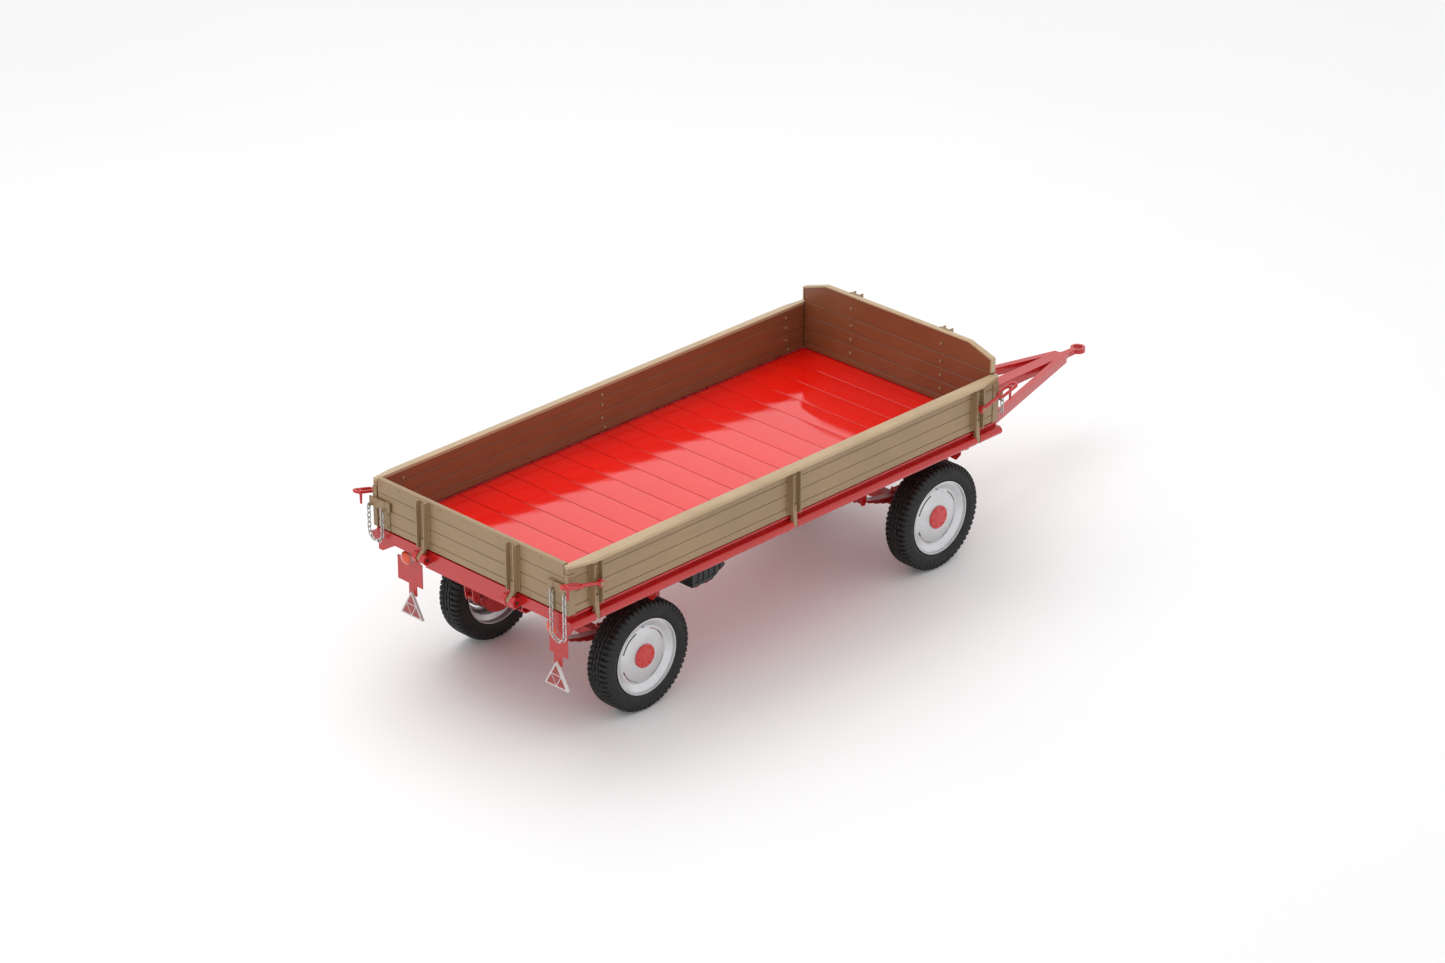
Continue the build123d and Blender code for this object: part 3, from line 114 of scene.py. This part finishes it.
# ---- materials ----
class Surface:
    """A Principled material under construction."""

    def __init__(self, name, roughness, metallic=0.0, coat=0.0):
        self.material = bpy.data.materials.new(name)
        self.material.use_nodes = True
        self.tree = self.material.node_tree
        self.shader = self.tree.nodes["Principled BSDF"]
        self.shader.inputs["Roughness"].default_value = roughness
        self.shader.inputs["Metallic"].default_value = metallic
        self.shader.inputs["Coat Weight"].default_value = coat
        self.shader.inputs["Coat Roughness"].default_value = 0.08
        self.place = self.node("ShaderNodeTexCoord").outputs["Object"]

    def node(self, kind, **settings):
        made = self.tree.nodes.new(kind)
        for key, value in settings.items():
            setattr(made, key, value)
        return made

    def link(self, source, target):
        self.tree.links.new(source, target)

    def stretched(self, scale):
        mapping = self.node("ShaderNodeMapping")
        mapping.inputs["Scale"].default_value = scale
        self.link(self.place, mapping.inputs["Vector"])
        return mapping.outputs["Vector"]

    def noise(self, size, detail=4.0, stretch=(1, 1, 1)):
        """Noise with features about size metres across, drawn out along the axes with small stretch."""
        noise = self.node("ShaderNodeTexNoise")
        noise.inputs["Scale"].default_value = 1.0
        noise.inputs["Detail"].default_value = detail
        self.link(self.stretched([s / size for s in stretch]), noise.inputs["Vector"])
        return noise.outputs["Fac"]

    def ramp(self, source, low, high, first, last):
        """A colour that runs from first to last as source runs from low to high."""
        ramp = self.node("ShaderNodeValToRGB")
        ramp.color_ramp.elements[0].position = low
        ramp.color_ramp.elements[1].position = high
        ramp.color_ramp.elements[0].color = first
        ramp.color_ramp.elements[1].color = last
        self.link(source, ramp.inputs["Fac"])
        return ramp.outputs["Color"]

    def span(self, source, to_low, to_high, low=0.3, high=0.7):
        """source, running from low to high, turned into a number from to_low to to_high."""
        scale = self.node("ShaderNodeMapRange")
        scale.inputs["From Min"].default_value = low
        scale.inputs["From Max"].default_value = high
        scale.inputs["To Min"].default_value = to_low
        scale.inputs["To Max"].default_value = to_high
        self.link(source, scale.inputs["Value"])
        return scale.outputs["Result"]

    def blend(self, amount, first, second):
        mix = self.node("ShaderNodeMix", data_type="RGBA")
        self.link(amount, mix.inputs["Factor"])
        for value, socket in ((first, mix.inputs[6]), (second, mix.inputs[7])):
            if isinstance(value, tuple):
                socket.default_value = value
            else:
                self.link(value, socket)
        return mix.outputs[2]

    def along(self, letter):
        """One coordinate of the shaded point at rest, in metres."""
        split = self.node("ShaderNodeSeparateXYZ")
        self.link(self.place, split.inputs["Vector"])
        return split.outputs[letter.upper()]

    def maths(self, operation, first, second=0.0):
        """A Math node on two values, each a number or a socket."""
        step = self.node("ShaderNodeMath", operation=operation)
        for value, socket in ((first, step.inputs[0]), (second, step.inputs[1])):
            if isinstance(value, float):
                socket.default_value = value
            else:
                self.link(value, socket)
        return step.outputs[0]

    def crevice_shade(self, source, dark):
        """source, darkened by painted shade in narrow grooves and corners, where ambient occlusion
        finds little open sky.
        """
        open_sky = self.node("ShaderNodeAmbientOcclusion", samples=6)
        open_sky.inputs["Distance"].default_value = CREVICE_REACH
        return self.blend(self.span(open_sky.outputs["AO"], 0.85, 0.0, 0.45, 0.85), source, dark)

    def colour(self, source):
        self.link(source, self.shader.inputs["Base Color"])

    def rough(self, source):
        self.link(source, self.shader.inputs["Roughness"])

    def bump(self, height, strength, distance):
        bump = self.node("ShaderNodeBump")
        bump.inputs["Strength"].default_value = strength
        bump.inputs["Distance"].default_value = distance
        self.link(height, bump.inputs["Height"])
        self.link(bump.outputs["Normal"], self.shader.inputs["Normal"])


def inner_side(surface, axis, edge, below):
    """1 on the faces that look into the bed, 0 elsewhere, told by the coordinate across the board; it
    masks the painted shade inside the bed.
    """
    across = surface.along(axis)
    if axis == "y":
        across = surface.maths("ABSOLUTE", across)
    return surface.maths("LESS_THAN" if below else "GREATER_THAN", across, edge)


def painted_boards(name, across, edge, below, along):
    """Satin board paint: tan outside; inside the bed a darker, redder copy that is painted shade with
    painted red light bounced off the floor; faint grain; painted shade in the joints and corners.
    """
    surface = Surface(name, 0.45, coat=0.12)
    grain = surface.noise(0.010, 6.0, [0.04 if letter == along else 1.0 for letter in "xyz"])
    patches = surface.noise(0.45, 3.0)
    # Painted shade: the faces inside the bed get a darker, redder copy of the paint, with painted red
    # light bounced off the floor.
    inside = inner_side(surface, across, edge, below)
    tan = surface.ramp(patches, 0.3, 0.7, paint_colour(148, 122, 89), paint_colour(158, 131, 97))
    shaded_brown = surface.ramp(patches, 0.3, 0.7, paint_colour(122, 72, 42), paint_colour(134, 82, 50))
    paint = surface.blend(inside, tan, shaded_brown)
    # Darker grain colour; its inner copy also carries the painted shade.
    shade = surface.blend(inside, paint_colour(128, 104, 76), paint_colour(98, 56, 32))
    paint = surface.blend(surface.span(grain, 0.0, 0.22, 0.45, 0.62), paint, shade)
    # Painted shade laid into joints and corners, darker still inside the bed.
    joint = surface.blend(inside, paint_colour(72, 54, 36), paint_colour(44, 22, 12))
    surface.colour(surface.crevice_shade(paint, joint))
    surface.rough(surface.span(patches, 0.38, 0.52))
    surface.bump(grain, 0.12, 0.0005)
    return surface.material


def cap_paint(name):
    """The walls' top moulding: the same paint, painted lighter all over as a painted highlight for the
    light that falls on its top, with painted shade in its grooves and corners.
    """
    surface = Surface(name, 0.4, coat=0.15)
    grain = surface.noise(0.010, 6.0, (0.04, 0.3, 1.0))
    patches = surface.noise(0.3, 4.0)
    # Painted highlight: lighter than the boards, for the light from above on the top.
    paint = surface.ramp(patches, 0.3, 0.7, paint_colour(172, 147, 113), paint_colour(186, 161, 127))
    paint = surface.blend(surface.span(grain, 0.0, 0.2, 0.45, 0.62), paint, paint_colour(150, 125, 93))
    # Painted shade in grooves and corners.
    surface.colour(surface.crevice_shade(paint, paint_colour(96, 74, 52)))
    surface.rough(surface.span(patches, 0.34, 0.48))
    surface.bump(grain, 0.1, 0.0004)
    return surface.material


def enamel(name, base, deep, roughness=0.28, coat=0.4):
    """Sprayed enamel: nearly even colour, a soft ripple and slightly varied gloss."""
    surface = Surface(name, roughness, coat=coat)
    middle = tuple(round((3 * a + b) / 4) for a, b in zip(base, deep))
    drift = surface.noise(0.5, 2.0)
    surface.colour(surface.ramp(drift, 0.3, 0.7, paint_colour(*middle), paint_colour(*base)))
    surface.rough(surface.span(surface.noise(0.06, 4.0), roughness - 0.04, roughness + 0.06))
    surface.bump(surface.noise(0.012, 2.0), 0.04, 0.0003)
    return surface.material


def metal(name, base, deep, roughness=0.32):
    surface = Surface(name, roughness, metallic=1.0)
    spots = surface.noise(0.006, 5.0)
    surface.colour(surface.ramp(spots, 0.35, 0.65, paint_colour(*deep), paint_colour(*base)))
    surface.rough(surface.span(surface.noise(0.02, 4.0), roughness - 0.08, roughness + 0.14))
    surface.bump(spots, 0.1, 0.0003)
    return surface.material


def silver_paint(name):
    """Wheel paint: fine flake under a clear coat."""
    surface = Surface(name, 0.34, metallic=0.75, coat=0.3)
    flake = surface.noise(0.0012, 2.0)
    patches = surface.noise(0.09, 4.0)
    light = surface.ramp(flake, 0.3, 0.7, paint_colour(196, 197, 200), paint_colour(226, 227, 229))
    surface.colour(surface.blend(surface.span(patches, 0.0, 0.25), light, paint_colour(168, 168, 170)))
    surface.rough(surface.span(patches, 0.28, 0.42))
    surface.bump(flake, 0.05, 0.0002)
    return surface.material


def rubber(name, base, deep, roughness=0.62):
    surface = Surface(name, roughness)
    dust = surface.noise(0.05, 6.0)
    surface.colour(surface.ramp(dust, 0.35, 0.75, paint_colour(*base), paint_colour(*deep)))
    surface.rough(surface.span(dust, roughness - 0.08, roughness + 0.12))
    surface.bump(surface.noise(0.003, 3.0), 0.2, 0.0005)
    return surface.material


def lens(name):
    """Amber-red lamp plastic with moulded rings."""
    surface = Surface(name, 0.12, coat=0.6)
    wave = surface.node("ShaderNodeTexWave", wave_type="RINGS", rings_direction="X")
    wave.inputs["Scale"].default_value = 28.0
    surface.link(surface.place, wave.inputs["Vector"])
    dark, light = paint_colour(196, 48, 14), paint_colour(232, 86, 28)
    surface.colour(surface.ramp(surface.noise(0.05), 0.3, 0.7, dark, light))
    surface.shader.inputs["Subsurface Weight"].default_value = 0.15
    surface.bump(wave.outputs["Fac"], 0.3, 0.0015)
    return surface.material


def reflector(name, base, deep):
    """Reflector plastic with small moulded cells."""
    surface = Surface(name, 0.14, coat=0.7)
    cells = surface.node("ShaderNodeTexVoronoi")
    cells.inputs["Scale"].default_value = 1 / 0.005
    surface.link(surface.place, cells.inputs["Vector"])
    edges = cells.outputs["Distance"]
    surface.colour(surface.ramp(edges, 0.1, 0.7, paint_colour(*base), paint_colour(*deep)))
    surface.bump(edges, 0.5, 0.001)
    return surface.material


def floor_paint(name, planks):
    """High-gloss red: every plank is slightly crowned, so reflections break at the joints."""
    surface = Surface(name, 0.09, coat=0.45)
    surface.shader.inputs["Coat Roughness"].default_value = 0.03
    low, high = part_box("floor_planks")
    pitch = (high[0] - low[0]) / planks
    along = surface.maths("DIVIDE", surface.maths("SUBTRACT", surface.along("x"), low[0]), pitch)
    part = surface.maths("FRACT", along)
    crown = surface.maths("MULTIPLY", part, surface.maths("SUBTRACT", 1.0, part))
    broad = surface.noise(0.6, 3.0)
    red = surface.ramp(broad, 0.3, 0.7, paint_colour(222, 16, 8), paint_colour(232, 22, 12))
    joint = surface.span(crown, 0.8, 0.0, 0.008, 0.022)
    surface.colour(surface.blend(joint, red, paint_colour(150, 10, 8)))
    surface.rough(surface.span(surface.noise(0.2, 4.0), 0.05, 0.11))
    ripple = surface.maths("MULTIPLY", surface.noise(0.16, 2.0, (1, 0.3, 1)), 0.10)
    surface.bump(surface.maths("ADD", crown, ripple), 1.0, CROWN)
    return surface.material


def board_edge(node, axis, side):
    """Just inside a wall's inner face: the coordinate that tells inner faces from the rest."""
    low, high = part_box(node)
    return low[axis] + BOARD_BEVEL if side < 0 else high[axis] - BOARD_BEVEL


materials = {
    "sides": painted_boards("side boards", "y", board_edge("side_wall_boards_left", 1, -1), True, "x"),
    "ends": painted_boards("end boards", "x", board_edge("tailgate_boards", 0, 1), False, "y"),
    "front": painted_boards("front boards", "x", board_edge("front_wall_boards", 0, -1), True, "y"),
    "straps": enamel("strap paint", (152, 126, 94), (132, 107, 80), 0.42, 0.1),
    "caps": cap_paint("cap paint"),
    "floor": floor_paint("floor gloss", PLANKS),
    "red": enamel("frame red", (186, 22, 22), (160, 14, 14)),
    "hub red": enamel("hub red", (200, 34, 34), (176, 22, 24), 0.22, 0.6),
    "chain": metal("chain steel", (222, 222, 220), (150, 150, 148), 0.24),
    "bolts": enamel("bolt paint", (160, 132, 98), (112, 88, 64), 0.4, 0.1),
    "pins": metal("pin steel", (120, 108, 96), (72, 62, 54), 0.42),
    "spring": enamel("spring paint", (164, 26, 26), (120, 16, 16), 0.4, 0.2),
    "rim": silver_paint("wheel silver"),
    "tyre": rubber("tyre rubber", (13, 13, 14), (22, 22, 21)),
    "chock": rubber("chock rubber", (20, 20, 21), (34, 34, 34), 0.45),
    "lamp": enamel("lamp body", (206, 202, 196), (182, 178, 172), 0.3),
    "lens": lens("lamp lens"),
    "frame reflector": enamel("reflector frame", (206, 202, 200), (170, 166, 164), 0.3),
    "tile": reflector("reflector tile", (196, 26, 22), (120, 10, 10)),
}

FINISHES = {
    "side_wall_boards": "sides",
    "side_wall_straps": "straps",
    "side_wall_cap": "caps",
    "side_wall_bolts": "bolts",
    "tailgate_boards": "ends",
    "tailgate_straps": "straps",
    "tailgate_bolts": "bolts",
    "front_wall_boards": "front",
    "front_wall_straps": "straps",
    "front_wall_cap": "caps",
    "front_wall_bolts": "bolts",
    "floor_planks": "floor",
    "hinge_pins": "pins",
    "lamp_housings": "lamp",
    "lamp_lenses": "lens",
    "reflector_frames": "frame reflector",
    "reflector_tiles": "tile",
    "wheel_chock": "chock",
    "rim": "rim",
    "tyre": "tyre",
    "hub": "hub red",
    "chain": "chain",
    "rear_springs": "spring",
    "front_springs": "spring",
}


def dress_nodes():
    """Give every CAD node its finish; whatever has no entry of its own is frame red."""
    for name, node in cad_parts.items():
        found = [finish for start, finish in FINISHES.items() if name.startswith(start)]
        node.data.materials.clear()
        node.data.materials.append(materials[found[0] if found else "red"])


# ---- tyres ----
LUGS = 60
STEPS_PER_LUG = 8
RIB_DEPTH = 0.010
LUG_DEPTH = 0.013
SIDE_DEPTH = 0.006
ZIGZAG = 0.0035

# One side of the tyre from its middle to its bead: offset, radius, kind. "rib" and "groove" rows follow
# the zigzag, "lug" and "side" rows are cut into shoulder blocks and "wall" rows are plain.
TYRE_ROWS = [
    (0.0000, 0.3895, "groove"), (0.0035, 0.3895, "groove"), (0.0045, 0.3895, "rib"),
    (0.0145, 0.3895, "rib"), (0.0245, 0.3895, "rib"), (0.0255, 0.3895, "groove"),
    (0.0325, 0.3895, "groove"), (0.0335, 0.3895, "rib"), (0.0400, 0.3893, "rib"),
    (0.0425, 0.3893, "lug"), (0.0560, 0.3888, "lug"), (0.0690, 0.3868, "lug"),
    (0.0790, 0.3825, "lug"), (0.0860, 0.3750, "lug"), (0.0902, 0.3655, "side"),
    (0.0927, 0.3560, "side"), (0.0938, 0.3470, "side"), (0.0905, 0.3430, "wall"),
    (0.0912, 0.3360, "wall"), (0.0930, 0.3300, "wall"), (0.0949, 0.3240, "wall"),
    (0.0935, 0.3225, "wall"), (0.0930, 0.3080, "wall"), (0.0942, 0.3065, "wall"),
    (0.0940, 0.3020, "wall"), (0.0918, 0.3005, "wall"), (0.0885, 0.2900, "wall"),
    (0.0840, 0.2800, "wall"), (0.0810, 0.2765, "wall"), (0.0770, 0.2680, "wall"),
    (0.0740, 0.2632, "wall"), (0.0570, 0.2630, "wall"),
]


def tread_point(row, step):
    """Offset and radius of one point of the tread, step counting round the tyre."""
    offset, radius, kind = row
    phase = step % STEPS_PER_LUG
    half_turns = (step / (2 * STEPS_PER_LUG)) % 1.0
    swing = ZIGZAG * (1 - 4 * abs(half_turns - 0.5))
    if kind == "groove":
        return offset + swing, radius - RIB_DEPTH
    if kind == "rib":
        sipe = 0.004 if phase == 6 else 0.0
        return offset + swing, radius - sipe
    if kind == "lug" and phase >= 5:
        return offset, radius - LUG_DEPTH
    if kind == "side" and phase >= 5:
        return offset - math.copysign(SIDE_DEPTH, offset), radius
    return offset, radius


def tyre(name):
    """A treaded tyre about the Y axis at the origin."""
    right = [(y, r, kind, 1) for y, r, kind in TYRE_ROWS]
    left = [(y, r, kind, -1) for y, r, kind in reversed(TYRE_ROWS[1:])]
    rows = left + right
    steps = LUGS * STEPS_PER_LUG
    points, faces = [], []
    for step in range(steps):
        a = 2 * math.pi * step / steps
        for y, r, kind, side in rows:
            shift = STEPS_PER_LUG // 2 if side < 0 else 0
            offset, radius = tread_point((side * y, r, kind), step + shift)
            points.append((radius * math.cos(a), offset, radius * math.sin(a)))
    count = len(rows)
    for step in range(steps):
        ahead = (step + 1) % steps
        for j in range(count):
            k = (j + 1) % count
            faces.append((step * count + j, step * count + k, ahead * count + k, ahead * count + j))
    return mesh_object(name, points, faces, materials["tyre"], 32)


def add_tyres():
    for place in PLACES:
        piece = tyre(f"tread_{place}")
        piece.location = centre(f"tyre_{place}")
        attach(piece, f"wheel_{place}")
        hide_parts(f"tyre_{place}")


def add_valves():
    """A short valve stem through each wheel disc."""
    stem = [(0.0, 0.0), (0.0045, 0.0), (0.0045, 0.022), (0.0035, 0.022), (0.0035, 0.034), (0.0, 0.034)]
    for place in PLACES:
        side = 1 if place.endswith("left") else -1
        outline = [(r, side * y) for r, y in stem]
        piece = turned(f"valve_{place}", outline, materials["chock"], 16)
        piece.location = centre(f"tyre_{place}") + Vector((0.0, side * VALVE_OUT, VALVE_RADIUS))
        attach(piece, f"wheel_{place}")


def add_gate_screws():
    """Small round screw heads near the tailgate's top edge."""
    low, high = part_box("tailgate_boards")
    head = [(0.0, 0.0), (0.007, 0.0), (0.0065, 0.0025), (0.004, 0.0042), (0.0, 0.0048)]
    for n, y in enumerate(SCREW_PLACES):
        piece = turned(f"gate_screw_{n}", head, materials["bolts"], 20)
        piece.rotation_euler = (0.0, 0.0, math.radians(90))
        piece.location = (low[0], y, high[2] - SCREW_DROP)
        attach(piece, "tailgate")


# ---- studio ----
def add_stage():
    half = FLOOR_HALF
    points = [(-half, -half, 0), (half, -half, 0), (half, half, 0), (-half, half, 0)]
    surface = Surface("studio floor", 0.55)
    darker, lighter = (0.89, 0.89, 0.89, 1), (0.91, 0.91, 0.91, 1)
    surface.colour(surface.ramp(surface.noise(3.0), 0.2, 0.8, darker, lighter))
    floor = mesh_object("studio_floor", points, [(0, 1, 2, 3)], surface.material)


def area_light(name, place, aim, size, power):
    light = bpy.data.lights.new(name, "AREA")
    light.shape = "RECTANGLE"
    light.size, light.size_y = size
    light.energy = power
    lamp = bpy.data.objects.new(name, light)
    lamp.location = place
    lamp.rotation_euler = (Vector(aim) - Vector(place)).to_track_quat("-Z", "Y").to_euler()
    bpy.context.scene.collection.objects.link(lamp)


def add_lights():
    world = bpy.data.worlds.new("studio")
    bpy.context.scene.world = world
    world.use_nodes = True
    background = world.node_tree.nodes["Background"]
    background.inputs["Color"].default_value = (1.0, 1.0, 1.0, 1.0)
    background.inputs["Strength"].default_value = SKY
    area_light("overhead", LAMP_PLACE, LAMP_AIM, LAMP_SIZE, LAMP_POWER)


def add_camera():
    a, e = math.radians(CAMERA_AZIMUTH), math.radians(CAMERA_ELEVATION)
    away = Vector((math.sin(a) * math.cos(e), -math.cos(a) * math.cos(e), math.sin(e)))
    lens_data = bpy.data.cameras.new("camera")
    lens_data.lens = LENS_MM
    lens_data.sensor_width = SENSOR_MM
    lens_data.clip_end = 300.0
    camera = bpy.data.objects.new("camera", lens_data)
    camera.location = CAMERA_AIM + CAMERA_DISTANCE * away
    camera.rotation_euler = (-away).to_track_quat("-Z", "Y").to_euler()
    bpy.context.scene.collection.objects.link(camera)
    bpy.context.scene.camera = camera


dress_nodes()
add_tyres()
add_valves()
add_gate_screws()
add_stage()
add_lights()
add_camera()
bpy.context.scene.view_settings.view_transform = "Standard"
